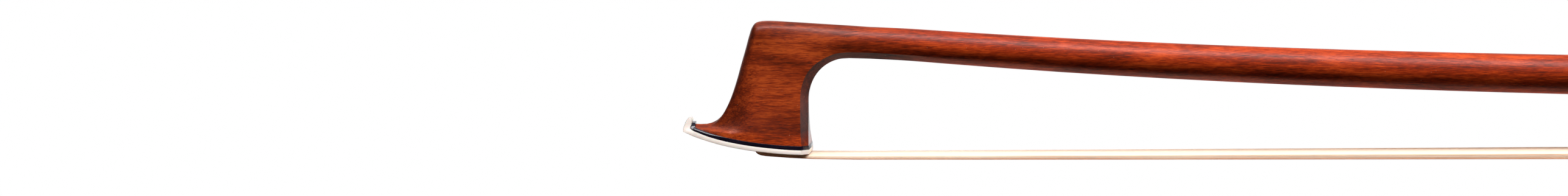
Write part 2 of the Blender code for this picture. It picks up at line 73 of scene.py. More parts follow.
def stickRadius(x):
    thickness = bow["taperBase"] + bow["taperRate"] * math.log10(x + 350 + bow["taperOffset"])
    return min(bow["handleWidth"], thickness) / 2


# The frog's pieces are made along the handle: u from the front of the ferrule, heights from the stick's axis
handleFrame = (Matrix.Translation((bow["frogFront"] * mm, 0, axisHeight(bow["frogFront"]) * mm))
               @ Matrix.Rotation(-handleAngle, 4, "Y"))


def onHandle(u, y, w):
    return handleFrame @ Vector((u * mm, y * mm, w * mm))


# Edit mode helpers
def openEdit(piece):
    bpy.ops.object.select_all(action="DESELECT")
    bpy.context.view_layer.objects.active = piece
    piece.select_set(True)
    bpy.ops.object.mode_set(mode="EDIT")
    bpy.ops.mesh.select_mode(type="VERT")
    return bmesh.from_edit_mesh(piece.data)


def closeEdit():
    bpy.ops.object.mode_set(mode="OBJECT")
    bpy.ops.object.select_all(action="DESELECT")


def selectOnly(piece):
    bpy.ops.object.select_all(action="DESELECT")
    bpy.context.view_layer.objects.active = piece
    piece.select_set(True)


def settle(piece):  # place, turn and scale go into the mesh
    selectOnly(piece)
    bpy.ops.object.transform_apply(location=True, rotation=True, scale=True)
    bpy.ops.object.select_all(action="DESELECT")


def facesOutward(piece, merge=0.0):
    openEdit(piece)
    bpy.ops.mesh.select_all(action="SELECT")
    if merge:
        bpy.ops.mesh.remove_doubles(threshold=merge)
    bpy.ops.mesh.normals_make_consistent(inside=False)
    closeEdit()


def smooth(piece, degrees=30):
    selectOnly(piece)
    bpy.ops.object.shade_smooth_by_angle(angle=math.radians(degrees))
    bpy.ops.object.select_all(action="DESELECT")


def applyModifier(piece, kind, **settings):
    modifier = piece.modifiers.new(kind.lower(), kind)
    for key, value in settings.items():
        setattr(modifier, key, value)
    selectOnly(piece)
    bpy.ops.object.modifier_apply(modifier=modifier.name)
    bpy.ops.object.select_all(action="DESELECT")


def cutWith(piece, tool, operation="DIFFERENCE"):
    applyModifier(piece, "BOOLEAN", object=tool, operation=operation, solver="EXACT")
    bpy.data.objects.remove(tool)


def softenEdges(piece, width, segments=2, degrees=30):
    applyModifier(piece, "BEVEL", width=width * mm, segments=segments, limit_method="ANGLE",
                  angle_limit=math.radians(degrees), use_clamp_overlap=True)


# A ring of points is extruded from section to section, as a lofted piece
def skinRings(name, rings):
    count = len(rings[0])
    bpy.ops.mesh.primitive_circle_add(vertices=count, radius=1, fill_type="NOTHING")
    piece = bpy.context.object
    piece.name = name
    for vertex, point in zip(piece.data.vertices, rings[0]):
        vertex.co = Vector(point) * mm
    mesh = openEdit(piece)
    bpy.ops.mesh.select_all(action="SELECT")
    bpy.ops.mesh.edge_face_add()
    bpy.ops.mesh.select_all(action="SELECT")
    current = list(range(count))
    for ring in rings[1:]:
        bpy.ops.mesh.extrude_edges_indiv()
        mesh = bmesh.from_edit_mesh(piece.data)
        mesh.verts.ensure_lookup_table()
        following = []
        for index, point in zip(current, ring):
            vertex = mesh.verts[index]
            fresh = next(e.other_vert(vertex) for e in vertex.link_edges if e.other_vert(vertex).select
                         and not vertex.select)
            fresh.co = Vector(point) * mm
            following.append(fresh.index)
        current = following
    bpy.ops.mesh.edge_face_add()
    bmesh.update_edit_mesh(piece.data)
    closeEdit()
    facesOutward(piece)
    return piece


def prismFrom(name, outline, low, high, upright=True):  # an outline in XZ, or in XY, given a thickness
    bpy.ops.mesh.primitive_circle_add(vertices=len(outline), radius=1, fill_type="NGON")
    piece = bpy.context.object
    piece.name = name
    for vertex, (a, b) in zip(piece.data.vertices, outline):
        vertex.co = Vector((a, low, b) if upright else (a, b, low)) * mm
    openEdit(piece)
    bpy.ops.mesh.select_all(action="SELECT")
    span = (high - low) * mm
    bpy.ops.mesh.extrude_region_move(
        TRANSFORM_OT_translate={"value": (0, span, 0) if upright else (0, 0, span)})
    closeEdit()
    facesOutward(piece)
    return piece


def curveThrough(points, x):
    k = next((i for i in range(len(points) - 2) if x <= points[i + 1][0]), len(points) - 2)
    (x1, y1), (x2, y2) = points[k], points[k + 1]

    def slope(i):
        a, b = points[max(i - 1, 0)], points[min(i + 1, len(points) - 1)]
        return (b[1] - a[1]) / (b[0] - a[0])

    t, span = (x - x1) / (x2 - x1), x2 - x1
    return ((2 * t**3 - 3 * t**2 + 1) * y1 + (t**3 - 2 * t**2 + t) * span * slope(k)
            + (3 * t**2 - 2 * t**3) * y2 + (t**3 - t**2) * span * slope(k + 1))


# Materials
def startMaterial(name, settings):
    material = bpy.data.materials.new(name)
    material.use_nodes = True
    tree = material.node_tree
    shader = tree.nodes["Principled BSDF"]
    for socket, value in settings.items():
        shader.inputs[socket].default_value = value
    place = tree.nodes.new("ShaderNodeTexCoord").outputs["Object"]
    return material, tree, shader, place


def stretched(tree, place, scale, shift=(0, 0, 0)):
    node = tree.nodes.new("ShaderNodeMapping")
    node.inputs["Scale"].default_value = scale
    node.inputs["Location"].default_value = shift
    tree.links.new(place, node.inputs["Vector"])
    return node.outputs["Vector"]


def noiseOf(tree, place, scale=1.0, detail=3.0, rough=0.5, wave=0.0):
    node = tree.nodes.new("ShaderNodeTexNoise")
    for key, value in (("Scale", scale), ("Detail", detail), ("Roughness", rough), ("Distortion", wave)):
        node.inputs[key].default_value = value
    tree.links.new(place, node.inputs["Vector"])
    return node.outputs["Fac"]


def rampOf(tree, factor, stops, smoothSteps=False):
    node = tree.nodes.new("ShaderNodeValToRGB")
    ramp = node.color_ramp
    ramp.interpolation = "EASE" if smoothSteps else "LINEAR"
    while len(ramp.elements) < len(stops):
        ramp.elements.new(0.5)
    for element, (position, colour) in zip(ramp.elements, stops):
        element.position = position
        element.color = (*colour, 1) if hasattr(colour, "__len__") else (colour, colour, colour, 1)
    tree.links.new(factor, node.inputs["Fac"])
    return node.outputs["Color"]


def mixOf(tree, factor, first, second, blend="MIX"):
    node = tree.nodes.new("ShaderNodeMix")
    node.data_type, node.blend_type = "RGBA", blend
    for socket, value in ((node.inputs[0], factor), (node.inputs[6], first), (node.inputs[7], second)):
        if hasattr(value, "node"):
            tree.links.new(value, socket)
        elif hasattr(value, "__len__"):
            socket.default_value = (*value, 1)
        else:
            socket.default_value = value
    return node.outputs[2]


def mathOf(tree, operation, first, second=0.0, clamp=False):
    node = tree.nodes.new("ShaderNodeMath")
    node.operation, node.use_clamp = operation, clamp
    for socket, value in zip(node.inputs, (first, second)):
        if hasattr(value, "node"):
            tree.links.new(value, socket)
        else:
            socket.default_value = value
    return node.outputs[0]


def axisOf(tree, place, axis, low, high):  # 0 to 1 from one place to another along an axis
    split = tree.nodes.new("ShaderNodeSeparateXYZ")
    tree.links.new(place, split.inputs[0])
    node = tree.nodes.new("ShaderNodeMapRange")
    node.interpolation_type = "SMOOTHSTEP"
    node.inputs["From Min"].default_value = low
    node.inputs["From Max"].default_value = high
    tree.links.new(split.outputs[axis], node.inputs["Value"])
    return node.outputs["Result"]


def bumpOf(tree, shader, height, strength, distance):
    node = tree.nodes.new("ShaderNodeBump")
    node.inputs["Strength"].default_value = strength
    node.inputs["Distance"].default_value = distance
    tree.links.new(height, node.inputs["Height"])
    tree.links.new(node.outputs["Normal"], shader.inputs["Normal"])


def linkTo(tree, shader, sockets):
    for socket, value in sockets.items():
        tree.links.new(value, shader.inputs[socket])


def toneOf(tree, name):  # a value painted on the mesh
    node = tree.nodes.new("ShaderNodeAttribute")
    node.attribute_name = name
    return node.outputs["Fac"]


def smoothEnds(tree, roughness):  # end faces across the bow are polished
    ends = axisOf(tree, tree.nodes.new("ShaderNodeTexCoord").outputs["Normal"], 0, 0.97, 0.99)
    return mixOf(tree, ends, roughness, (0.05, 0.05, 0.05))


# The head's lighter foot is painted light, its darker lower cheek and crown are painted shade, and the edge colour is
# painted shade
woodLook = {"dark": (0.095, 0.009, 0.002), "middle": (0.25, 0.0215, 0.0035), "orange": (0.46, 0.054, 0.008),
            "pore": (0.03, 0.0045, 0.003), "fleck": (0.55, 0.30, 0.20), "head": (0.88, 1.12, 1.35),
            "footPaintedLight": (1.6, 1.55, 1.2), "low": (0.58, 0.54, 0.50), "high": (0.98, 1.0, 1.02),
            "crown": (0.66, 0.66, 0.68), "edge": (0.28, 0.25, 0.25)}


def redWood():
    material, tree, shader, place = startMaterial("varnishedRedWood", {"Specular IOR Level": 0.15})
    layers = [(noiseOf(tree, stretched(tree, place, (105, 1500, 1500)), detail=4, rough=0.55, wave=0.5), 0.28),
              (noiseOf(tree, stretched(tree, place, (620, 6400, 6400), (3, 1, 2)), detail=3, rough=0.6), 0.42),
              (noiseOf(tree, stretched(tree, place, (75, 420, 420), (5, 4, 1)), detail=3, wave=0.4), 0.30)]
    fine = layers[1][0]
    blend = mathOf(tree, "MULTIPLY", *layers[0])
    for noise, weight in layers[1:]:
        blend = mathOf(tree, "ADD", blend, mathOf(tree, "MULTIPLY", noise, weight))
    colour = rampOf(tree, blend, [(0.395, woodLook["dark"]), (0.495, woodLook["middle"]), (0.60, woodLook["orange"])])
    # Painted light and shade on the head by height: a lighter foot, a darker lower cheek and a darker crown, then a
    # tint over the whole head that fades out along the stick
    head = rampOf(tree, axisOf(tree, place, 2, 0.002, 0.014),
                  [(0.02, woodLook["footPaintedLight"]), (0.16, woodLook["low"]), (0.8, 1.0), (1.0, woodLook["high"])])
    head = mixOf(tree, axisOf(tree, place, 2, 0.0185, 0.0222), head, woodLook["crown"])
    head = mixOf(tree, 1.0, head, woodLook["head"], "MULTIPLY")
    colour = mixOf(tree, 1.0, colour, mixOf(tree, axisOf(tree, place, 0, -0.350, -0.325), head, (1, 1, 1)), "MULTIPLY")
    # painted shade on the ridge, the throat's chamfers and the faces that look down, as set on the mesh
    colour = mixOf(tree, 1.0, colour, mixOf(tree, toneOf(tree, "paintedEdgeShade"), (1, 1, 1), woodLook["edge"]), "MULTIPLY")
    dash = noiseOf(tree, stretched(tree, place, (800, 7500, 7500), (7, 3, 5)), detail=1, rough=0.5)
    pores = rampOf(tree, dash, [(0.64, 0.0), (0.70, 1.0)])
    colour = mixOf(tree, mathOf(tree, "MULTIPLY", pores, 0.5), colour, woodLook["pore"])
    flecks = rampOf(tree, noiseOf(tree, place, 3600, detail=0), [(0.865, 0.0), (0.885, 1.0)])
    colour = mixOf(tree, mathOf(tree, "MULTIPLY", flecks, 0.35), colour, woodLook["fleck"])
    roughness = smoothEnds(tree, rampOf(tree, fine, [(0.3, 0.44), (0.7, 0.32)]))
    linkTo(tree, shader, {"Base Color": colour, "Roughness": roughness})
    bumpOf(tree, shader, mathOf(tree, "SUBTRACT", fine, mathOf(tree, "MULTIPLY", pores, 0.6)), 0.16, 0.00006)
    return material


def blackWood(name, deep, usual, brown):
    material, tree, shader, place = startMaterial(name, {"Specular IOR Level": 0.5})
    grain = noiseOf(tree, stretched(tree, place, (160, 2400, 2400)), detail=4, rough=0.6)
    pores = rampOf(tree, noiseOf(tree, stretched(tree, place, (500, 7000, 7000)), detail=2), [(0.62, 0.0), (0.7, 1.0)])
    colour = rampOf(tree, grain, [(0.35, deep), (0.6, usual), (0.75, brown)])
    colour = mixOf(tree, pores, colour, (0.002, 0.002, 0.002))
    roughness = smoothEnds(tree, rampOf(tree, grain, [(0.3, 0.26), (0.7, 0.15)]))
    linkTo(tree, shader, {"Base Color": colour, "Roughness": roughness})
    bumpOf(tree, shader, mathOf(tree, "SUBTRACT", grain, pores), 0.1, 0.00004)
    return material


def boneWhite():
    material, tree, shader, place = startMaterial("boneWhite", {"Subsurface Weight": 0.15, "Subsurface Scale": 0.0006,
                                                                "Specular IOR Level": 0.35})
    streak = noiseOf(tree, stretched(tree, place, (220, 1800, 3500)), detail=3)
    cloud = noiseOf(tree, stretched(tree, place, (260, 260, 260), (2, 2, 2)), detail=2)
    colour = rampOf(tree, streak, [(0.3, (0.87, 0.76, 0.68)), (0.6, (0.93, 0.84, 0.775))])
    colour = mixOf(tree, mathOf(tree, "MULTIPLY", cloud, 0.35), colour, (0.92, 0.79, 0.725))
    # painted shade on the beak and its edges, as set on the mesh
    edge = mixOf(tree, toneOf(tree, "paintedEdgeShade"), (1, 1, 1), (0.40, 0.42, 0.42))
    colour = mixOf(tree, 1.0, colour, edge, "MULTIPLY")
    linkTo(tree, shader, {"Base Color": colour, "Roughness": rampOf(tree, cloud, [(0.3, 0.38), (0.7, 0.26)])})
    bumpOf(tree, shader, streak, 0.1, 0.00003)
    return material


def metalOf(name, bright, dull, roughness, scratch=(300, 4000, 4000)):
    material, tree, shader, place = startMaterial(name, {"Metallic": 1.0})
    scratches = noiseOf(tree, stretched(tree, place, scratch), detail=4, rough=0.7)
    cloud = noiseOf(tree, place, 420, detail=3, rough=0.6)
    colour = rampOf(tree, cloud, [(0.32, dull), (0.52, bright)])
    spread = rampOf(tree, scratches, [(0.3, roughness * 0.75), (0.7, roughness * 1.3)])
    linkTo(tree, shader, {"Base Color": colour, "Roughness": spread})
    bumpOf(tree, shader, scratches, 0.12, 0.00002)
    return material


def pearlShell():
    material, tree, shader, place = startMaterial("pearlShell", {"Coat Weight": 0.6, "Coat Roughness": 0.08, "Roughness": 0.22})
    wave = noiseOf(tree, place, 260, detail=2, wave=1.6)
    fine = noiseOf(tree, stretched(tree, place, (900, 900, 900), (5, 5, 5)), detail=2, wave=2.0)
    colour = rampOf(tree, wave, [(0.30, (0.60, 0.66, 0.72)), (0.42, (0.72, 0.80, 0.74)), (0.52, (0.84, 0.80, 0.82)),
                                 (0.62, (0.66, 0.78, 0.80)), (0.72, (0.86, 0.78, 0.72))])
    colour = mixOf(tree, 0.35, colour, rampOf(tree, fine, [(0.35, (0.55, 0.68, 0.70)), (0.65, (0.92, 0.86, 0.86))]))
    linkTo(tree, shader, {"Base Color": colour})
    bumpOf(tree, shader, fine, 0.05, 0.00003)
    return material


def threadWrap():
    material, tree, shader, place = startMaterial("waxedThread", {"Roughness": 0.8})
    turns = tree.nodes.new("ShaderNodeTexWave")
    turns.bands_direction = "Y"
    turns.inputs["Scale"].default_value = 900
    tree.links.new(place, turns.inputs["Vector"])
    colour = rampOf(tree, turns.outputs["Fac"], [(0.1, (0.42, 0.36, 0.26)), (0.7, (0.78, 0.72, 0.60))])
    linkTo(tree, shader, {"Base Color": colour})
    bumpOf(tree, shader, turns.outputs["Fac"], 0.5, 0.0001)
    return material


def paleMaple():
    material, tree, shader, place = startMaterial("paleMaple", {"Roughness": 0.6})
    grain = noiseOf(tree, stretched(tree, place, (250, 1500, 3000)), detail=4, rough=0.6)
    colour = rampOf(tree, grain, [(0.35, (0.42, 0.27, 0.13)), (0.6, (0.64, 0.46, 0.27))])
    linkTo(tree, shader, {"Base Color": colour})
    bumpOf(tree, shader, grain, 0.3, 0.00005)
    return material


def gripLeather():
    material, tree, shader, place = startMaterial("gripLeather", {"Specular IOR Level": 0.4})
    cells = tree.nodes.new("ShaderNodeTexVoronoi")
    cells.feature = "DISTANCE_TO_EDGE"
    cells.inputs["Scale"].default_value = 2300
    tree.links.new(place, cells.inputs["Vector"])
    grain = rampOf(tree, cells.outputs["Distance"], [(0.0, 0.0), (0.3, 1.0)])
    wear = noiseOf(tree, place, 120, detail=4)
    colour = rampOf(tree, wear, [(0.35, (0.018, 0.010, 0.008)), (0.65, (0.05, 0.028, 0.02))])
    colour = mixOf(tree, mathOf(tree, "MULTIPLY", grain, 0.5), colour, (0.06, 0.035, 0.026))
    linkTo(tree, shader, {"Base Color": colour, "Roughness": rampOf(tree, wear, [(0.3, 0.62), (0.7, 0.42)])})
    bumpOf(tree, shader, grain, 0.4, 0.00006)
    return material


hairLook = {"tan": (0.86, 0.58, 0.39), "light": (0.985, 0.89, 0.77), "bright": (0.99, 0.975, 0.95),
            "shaded": (0.50, 0.33, 0.23), "through": (1.0, 0.885, 0.74)}


def paleHair():  # light passes through each strand, and painted shade darkens the hair under the plate
    material, tree, shader, place = startMaterial("paleHair", {"Roughness": 0.42, "Specular IOR Level": 0.4})
    along = noiseOf(tree, stretched(tree, place, (60, 3000, 3000)), detail=2)
    tone = mathOf(tree, "MULTIPLY", toneOf(tree, "strandTone"), 0.6)
    tone = mathOf(tree, "ADD", tone, mathOf(tree, "MULTIPLY", along, 0.4))
    colour = rampOf(tree, tone, [(0.18, hairLook["tan"]), (0.45, hairLook["light"]), (0.9, hairLook["bright"])])
    shade = mixOf(tree, axisOf(tree, place, 0, -0.3522, -0.3508), hairLook["shaded"], (1, 1, 1))
    colour = mixOf(tree, 1.0, colour, shade, "MULTIPLY")
    linkTo(tree, shader, {"Base Color": colour})
    glow, blend = tree.nodes.new("ShaderNodeBsdfTranslucent"), tree.nodes.new("ShaderNodeMixShader")
    blend.inputs[0].default_value = 0.5
    linkTo(tree, glow, {"Color": mixOf(tree, 1.0, colour, hairLook["through"], "MULTIPLY")})
    tree.links.new(shader.outputs[0], blend.inputs[1])
    tree.links.new(glow.outputs[0], blend.inputs[2])
    tree.links.new(blend.outputs[0], tree.nodes["Material Output"].inputs[0])
    return material


looks = {"wood": redWood(), "bone": boneWhite(), "pearl": pearlShell(), "thread": threadWrap(),
         "ebony": blackWood("polishedEbony", (0.004, 0.0035, 0.0035), (0.012, 0.0095, 0.0088), (0.032, 0.019, 0.013)),
         "darkLiner": blackWood("linerEbony", (0.005, 0.0035, 0.010), (0.013, 0.009, 0.020), (0.03, 0.018, 0.018)),
         "maple": paleMaple(), "leather": gripLeather(), "hair": paleHair(),
         "silver": metalOf("wornSilver", (0.86, 0.85, 0.82), (0.66, 0.64, 0.61), 0.2),
         "brass": metalOf("dullBrass", (0.72, 0.52, 0.24), (0.42, 0.28, 0.12), 0.34),
         "steel": metalOf("turnedSteel", (0.58, 0.58, 0.59), (0.36, 0.36, 0.37), 0.32)}
print("materials ready")


def dress(piece, look, body=None, stands=()):
    piece.data.materials.clear()
    piece.data.materials.append(looks[look])
    if body:
        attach(piece, body)
    if stands:
        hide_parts(*stands)
    return piece


# Stick with its head: sections sweep from the plate up the head and round into the shaft
stickSizes = {"points": 80, "facetPoint": 10, "cheekPoint": 33, "chamferPoint": 37, "neckFront": 2.7, "neckBack": 3.05,
              "ridgeHalf": 0.2, "facetDepth": 1.5, "footFacet": 0.7, "chamfer": 1.35, "footChamfer": 1.1,
              "tongueFall": 0.45, "throatFlat": 0.5, "footFlat": 3.9, "flatTop": 8.4, "flatHeight": 6.9, "flatCurve": 1.9,
              "roundFrom": 8.0, "roundTo": 14.0, "headSections": 96, "shaftStart": -340.5, "shaftSections": 60,
              "edgeAngle": 122.7, "edgeAcross": 0.95, "flatAcross": 0.28, "cornerEnd": -326.0, "evenEnd": -296.0}
plateLine = [(0.0, 4.50), (2.5, 3.57), (6.6, 2.54), (11.1, 1.80), (15.5, 1.29), (18.5, 1.03), (21.9, 0.87)]
planLine = [(0.0, 1.3), (2.0, 1.9), (5.0, 3.0), (8.0, 4.0), (12.0, 4.85), (15.0, 5.0), (18.5, 4.9), (20.6, 4.65),
            (21.9, 3.9)]
headLevels = [  # place, front or top point, throat or lower point, share of the flare; from the beak, above the hair
    (0.0, (1.0, 3.2), (21.85, 0.4), 1.0), (0.3, (1.6, 5.1), (21.78, 1.4), 1.0),
    (0.6, (2.2, 5.72), (21.70, 2.4), 0.955), (0.8, (3.5, 5.64), (21.67, 2.8), 0.935),
    (1.0, (4.8, 5.88), (21.64, 3.2), 0.90), (2.0, (6.23, 6.74), (21.56, 4.5), 0.78),
    (3.0, (7.24, 8.08), (21.52, 6.2), 0.62), (4.0, (8.30, 10.30), (21.50, 8.4), 0.44),
    (5.0, (9.30, 13.20), (21.53, 10.41), 0.28), (6.0, (10.10, 16.00), (21.79, 11.98), 0.16),
    (7.0, (10.90, 18.70), (22.31, 13.31), 0.07), (8.0, (11.52, 20.91), (22.90, 14.26), 0.02),
    (9.0, (12.10, 22.45), (23.46, 14.93), 0.0), (10.0, (12.97, 23.15), (24.04, 15.49), 0.0),
    (11.0, (15.00, 23.33), (24.74, 16.00), 0.0), (12.0, (19.00, 23.13), (25.67, 16.50), 0.0),
    (13.0, (24.00, 22.82), (26.96, 16.91), 0.0), (14.0, (28.20, 22.56), (28.60, 17.04), 0.0)]


def planHalf(x):
    return curveThrough(planLine, x)


def easeBetween(value, low, high):
    share = min(1.0, max(0.0, (value - low) / (high - low)))
    return share * share * (3 - 2 * share)


def beakBevel(x):  # near the beak the liner's upper edge is rounded, and the wood stands back as much
    return 0.42 * (1 - easeBetween(x, 3.5, 8.0))


def ringAngle(i, even):  # points gather at the lower corners near the head and are evenly spread farther on
    s = stickSizes
    half, corner = s["points"] // 2, s["cheekPoint"]
    if i <= corner:
        gathered = s["edgeAngle"] * i / corner
    else:
        gathered = s["edgeAngle"] + (180 - s["edgeAngle"]) * (i - corner) / (half - corner)
    return math.radians(gathered + (180 * i / half - gathered) * even)


def corneredCircle(i, angle, square):  # a unit circle whose lower corners are chamfered near the head
    s = stickSizes
    across, up = math.sin(angle), math.cos(angle)
    edgeUp = math.cos(math.radians(s["edgeAngle"]))
    if square and up < 0:
        if i <= s["cheekPoint"]:
            target = (1 - (1 - s["edgeAcross"]) * (up / edgeUp) ** 2, up)
        elif i <= s["chamferPoint"]:
            part = (i - s["cheekPoint"]) / (s["chamferPoint"] - s["cheekPoint"])
            target = (s["edgeAcross"] + (s["flatAcross"] - s["edgeAcross"]) * part, edgeUp - (1 + edgeUp) * part)
        else:
            part = (i - s["chamferPoint"]) / (s["points"] // 2 - s["chamferPoint"])
            target = (s["flatAcross"] * (1 - part), -1.0)
        across += (target[0] - across) * square
        up += (target[1] - up) * square
    return across, up


def headSection(place):
    s = stickSizes

    def level(pick):
        return curveThrough([(row[0], pick(row)) for row in headLevels], place)

    front = (level(lambda row: row[1][0]), level(lambda row: row[1][1]))
    back = (level(lambda row: row[2][0]), level(lambda row: row[2][1]))
    flare = min(1.0, max(0.0, level(lambda row: row[3])))
    length = math.hypot(back[0] - front[0], back[1] - front[1])
    roundness = easeBetween(place, s["roundFrom"], s["roundTo"])
    radius = stickRadius((front[0] + back[0]) / 2 - bow["halfLength"])
    facet = s["footFacet"] + (s["facetDepth"] - s["footFacet"]) * easeBetween(place, 1.0, 4.5)
    chamfer = s["footChamfer"] + (s["chamfer"] - s["footChamfer"]) * easeBetween(place, 4.0, 8.0)
    opened = min(1.0, max(0.0, (s["flatTop"] - back[1]) / s["flatHeight"])) ** s["flatCurve"]
    flat = s["throatFlat"] + (s["footFlat"] - s["throatFlat"]) * opened
    half = []
    for i in range(s["points"] // 2 + 1):
        turn = min(1.0, i / s["facetPoint"]) * math.pi / 2
        part = min(1.0, max(0.0, (i - s["cheekPoint"]) / (s["chamferPoint"] - s["cheekPoint"])))
        if i <= s["facetPoint"]:
            reach = facet * (1 - math.cos(turn))
        elif i <= s["cheekPoint"]:
            share = (i - s["facetPoint"]) / (s["cheekPoint"] - s["facetPoint"])
            reach = facet + (length - chamfer - facet) * share
        else:
            reach = length - chamfer * (1 - part)
        share = reach / length
        inPlan = front[0] + (back[0] - front[0]) * share
        byPlace = max(easeBetween(share, 0.05, 0.45), 1 - easeBetween(place, 0.1, 1.1))
        cheek = s["neckFront"] + (s["neckBack"] - s["neckFront"]) * share
        neck = s["ridgeHalf"] + (cheek - s["ridgeHalf"]) * math.sin(turn) ** 0.9
        wide = planHalf(share * 22.0 + (inPlan - share * 22.0) * byPlace) - beakBevel(inPlan)
        across = neck + (wide - neck) * flare
        across += (flat - across) * part
        if i > s["chamferPoint"]:  # the flat face between the two chamfers
            across *= (s["points"] // 2 - i) / (s["points"] // 2 - s["chamferPoint"])
        if i == 0:
            across = 0.0
        # the tongue behind the beak is crowned, so it falls to both sides of its ridge
        crown = (1 - easeBetween(place, 0.9, 3.0)) * (1 - easeBetween(inPlan, 4.0, 10.0))
        fall = s["tongueFall"] * crown * min(1.0, across / wide) ** 2
        turnAcross, turnUp = corneredCircle(i, ringAngle(i, 0.0), 1.0)
        turned = length - (1 + turnUp) * radius if turnUp < 0 else (1 - turnUp) * (length - radius)
        along = (reach + (turned - reach) * roundness) / length
        across += (radius * turnAcross - across) * roundness
        half.append((front[0] + (back[0] - front[0]) * along - bow["halfLength"], across,
                     front[1] + (back[1] - front[1]) * along - fall))
    near =[(x, -y, z) for x, y, z in half]
    return near + half[-2:0:-1]


def shaftSection(x):
    radius, centre = stickRadius(x), axisHeight(x)
    tilt = math.atan(axisHeight(x + 0.5) - axisHeight(x - 0.5))
    octagon = min(1.0, max(0.0, (x - bow["octagonStart"]) / (bow["handleStart"] - 1 - bow["octagonStart"])))
    square = 1 - easeBetween(x, stickSizes["shaftStart"], stickSizes["cornerEnd"])
    even = easeBetween(x, stickSizes["cornerEnd"], stickSizes["evenEnd"])
    half = []
    for i in range(stickSizes["points"] // 2 + 1):
        angle = ringAngle(i, even)
        corner = ((angle + math.pi / 8) % (math.pi / 4)) - math.pi / 8
        reach = radius * (1 - octagon) + octagon * bow["handleWidth"] / 2 / math.cos(corner)
        across, up = corneredCircle(i, angle, square)
        half.append((x - reach * up * math.sin(tilt), reach * across, centre + reach * up * math.cos(tilt)))
    return [(x, -y, z) for x, y, z in half] + half[-2:0:-1]


def alongPlate(lift, steps=40, start=0):
    return [(21.9 * i / steps - bow["halfLength"], curveThrough(plateLine, 21.9 * i / steps) + lift)
            for i in range(start, steps + 1)]


def fromBeak(points):
    return [(x - bow["halfLength"], z) for x, z in points]


def makeStick():
    s = stickSizes
    sections = [headSection(s["roundTo"] * i / s["headSections"]) for i in range(s["headSections"] + 1)]
    first = s["shaftStart"]
    turn = [first + (s["cornerEnd"] - first) * i / 12 for i in range(12)]
    shaft = [s["cornerEnd"] + (bow["octagonStart"] - s["cornerEnd"]) * i / s["shaftSections"]
             for i in range(s["shaftSections"] + 1)]
    shaft = turn + shaft + [236, 240, 245, 250, bow["handleStart"], 280, bow["frogFront"], 330, bow["stickEnd"]]
    stick = skinRings("bowStick", sections + [shaftSection(x) for x in shaft])
    wood = alongPlate(layers["woodLift"])
    under = [(-374.5, -3), (-374.5, wood[0][1])] + wood + [(-347.5, wood[-1][1]), (-347.5, -3)]
    cutWith(stick, prismFrom("underHead", under, -9, 9))
    notch = [(-2, 7.9), (1.6, 7.9), (2.13, 6.6), (2.14, 5.95), (2.2, 4.2), (-2, 4.2)]
    cutWith(stick, prismFrom("beakNotch", fromBeak(notch), -9, 9))
    slot = [(19.3, -6), (31.2, -6), (31.2, 2.3), (19.3, 2.3)]
    tool = prismFrom("handleSlot", slot, -2.45, 2.45)
    tool.data.transform(handleFrame)
    cutWith(stick, tool)
    bpy.ops.mesh.primitive_cylinder_add(vertices=32, radius=1.55 * mm, depth=58 * mm, location=(41 * mm, 0, 0),
                                        rotation=(0, math.pi / 2, 0))
    tool = bpy.context.object
    settle(tool)
    tool.data.transform(handleFrame)
    cutWith(stick, tool)
    smooth(stick, 17)
    # Painted shade darkens the ridge in front, the throat's chamfers and the faces that look down, on the head and on
    # the stick just behind it
    tones = stick.data.attributes.new("paintedEdgeShade", "FLOAT", "FACE")
    for face in stick.data.polygons:
        x, z = face.center.x / mm, face.center.z / mm
        if face.normal.x > 0.3 or face.normal.z < -0.4:
            strength = 0.85 if abs(face.normal.y) > 0.12 else 0.6
            tones.data[face.index].value = strength * (1 - easeBetween(x, s["shaftStart"], s["cornerEnd"]))
        elif x < -357 and z < 23:
            tones.data[face.index].value = easeBetween(-face.normal.x, 0.12, 0.8)
    return dress(stick, "wood", "stick", ["stick"])


layers = {"plate": 0.77, "beakPlate": 0.90, "glue": 0.02, "woodLift": 1.49}
bowStick = makeStick()
print("stick", len(bowStick.data.polygons), "faces")


# Head plate and liner: slabs that follow the head's underside and turn up at the beak
plateBeak = [  # outer point, its half width, inner point, its half width; from the tip down
    ((1.25, 6.99), 0.92, (1.33, 7.00), 0.92), ((1.12, 6.96), 0.95, (1.43, 6.88), 0.95),
    ((0.92, 6.78), 0.98, (1.53, 6.62), 0.99), ((0.66, 6.46), 1.02, (1.59, 6.30), 1.04),
    ((0.45, 6.08), 1.06, (1.56, 6.00), 1.09), ((0.28, 5.66), 1.12, (1.47, 5.64), 1.15),
    ((0.13, 5.24), 1.18, (1.31, 5.30), 1.24), ((0.02, 4.80), 1.26, (1.25, 5.10), 1.36),
    ((0.06, 4.47), 1.33, (1.33, 4.95), 1.52), ((0.50, 4.30), 1.45, (1.50, 4.82), 1.68),
    ((0.95, 4.12), 1.58, (1.60, 4.79), 1.74)]
linerNose = [
    ((1.65, 6.06), 0.98, (2.06, 6.06), 0.98), ((1.63, 6.00), 1.02, (2.11, 6.00), 1.02),
    ((1.60, 5.84), 1.05, (2.12, 5.82), 1.05), ((1.56, 5.62), 1.09, (2.13, 5.60), 1.09),
    ((1.46, 5.42), 1.16, (2.12, 5.44), 1.16), ((1.39, 5.20), 1.28, (2.14, 5.34), 1.28),
    ((1.46, 5.02), 1.45, (2.24, 5.24), 1.46), ((1.68, 4.86), 1.63, (2.42, 5.14), 1.66)]


